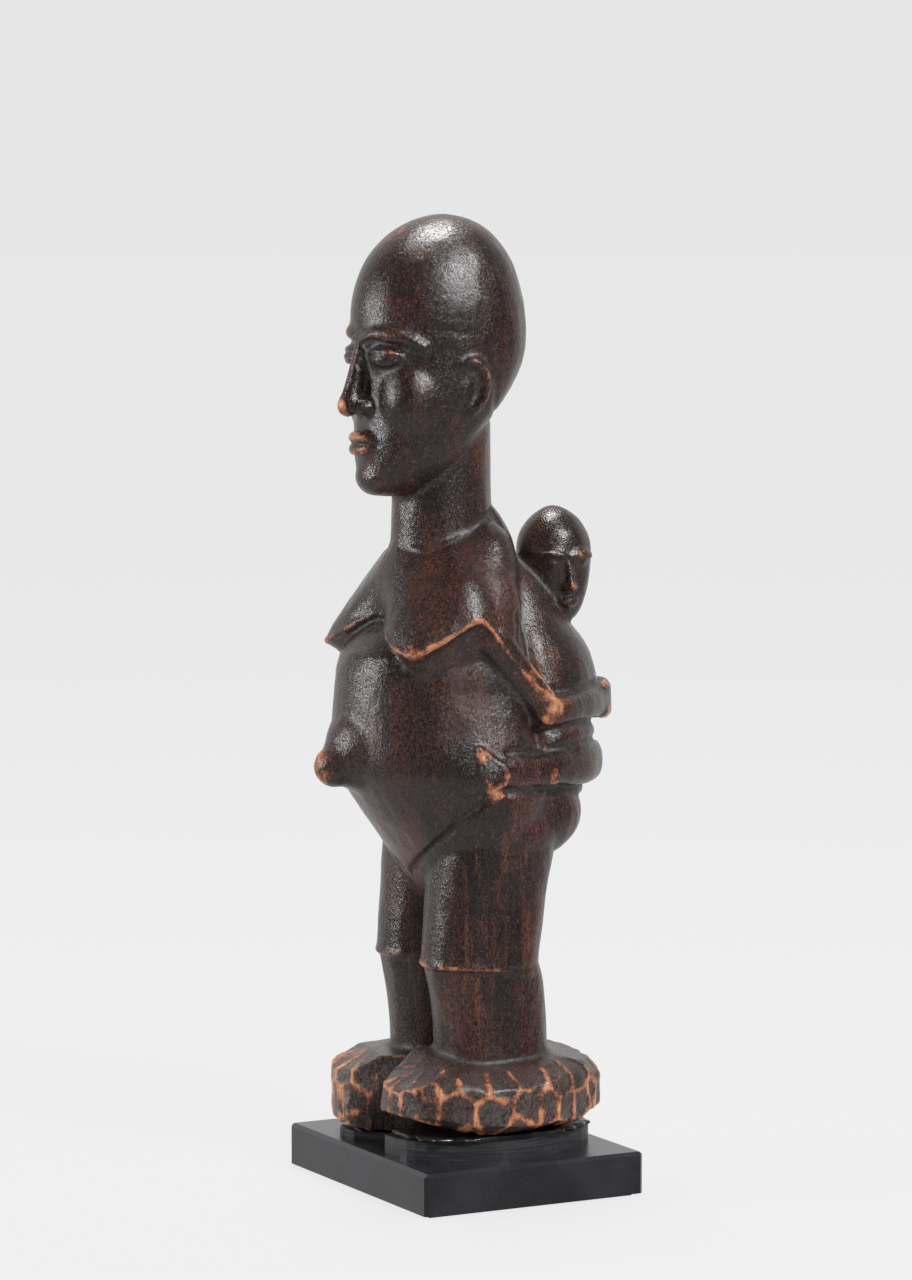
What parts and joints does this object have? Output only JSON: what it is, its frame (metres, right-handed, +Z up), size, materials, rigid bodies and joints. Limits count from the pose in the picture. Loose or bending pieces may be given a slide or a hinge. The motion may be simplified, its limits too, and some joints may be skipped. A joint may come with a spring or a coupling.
{
  "type": "carved ancestor figure",
  "caption": "Standing carved wooden mother figure with a child on her back, lifting off steel pins on a blackened block stand with riser plates.",
  "frame": {"origin": "centre of the felt's underside, on the table under the middle of the stand", "axes": "+Z up, +X the way the mother faces, +Y her left"},
  "size_m": [0.1115, 0.1, 0.3258],
  "materials": {
    "carved_wood": "dark handled patina, rubbed orange-brown on the ridges",
    "black_lacquer": "satin black paint over wood",
    "black_riser": "satin black paint, sanded in lines",
    "black_wax": "black mounting wax, pressed by hand",
    "pin_steel": "drawn steel rod",
    "zinc_steel": "bright zinc",
    "black_felt": "pressed wool felt"
  },
  "bodies": {
    "stand": {"base_block": "black_lacquer", "left_riser": "black_riser", "right_riser": "black_riser", "left_bedding": "black_wax", "right_bedding": "black_wax", "left_pin": "pin_steel", "right_pin": "pin_steel", "left_pin_washer": "zinc_steel", "right_pin_washer": "zinc_steel", "left_pin_nut": "zinc_steel", "right_pin_nut": "zinc_steel", "left_riser_screws": "zinc_steel", "right_riser_screws": "zinc_steel", "base_felt": "black_felt"},
    "figure": {"carved_figure": "carved_wood"}
  },
  "joints": [
    {"name": "figure_lift", "type": "slide", "parent": "stand", "child": "figure", "axis": [0, 0, 1], "range_m": [0, 0.036]}
  ]
}
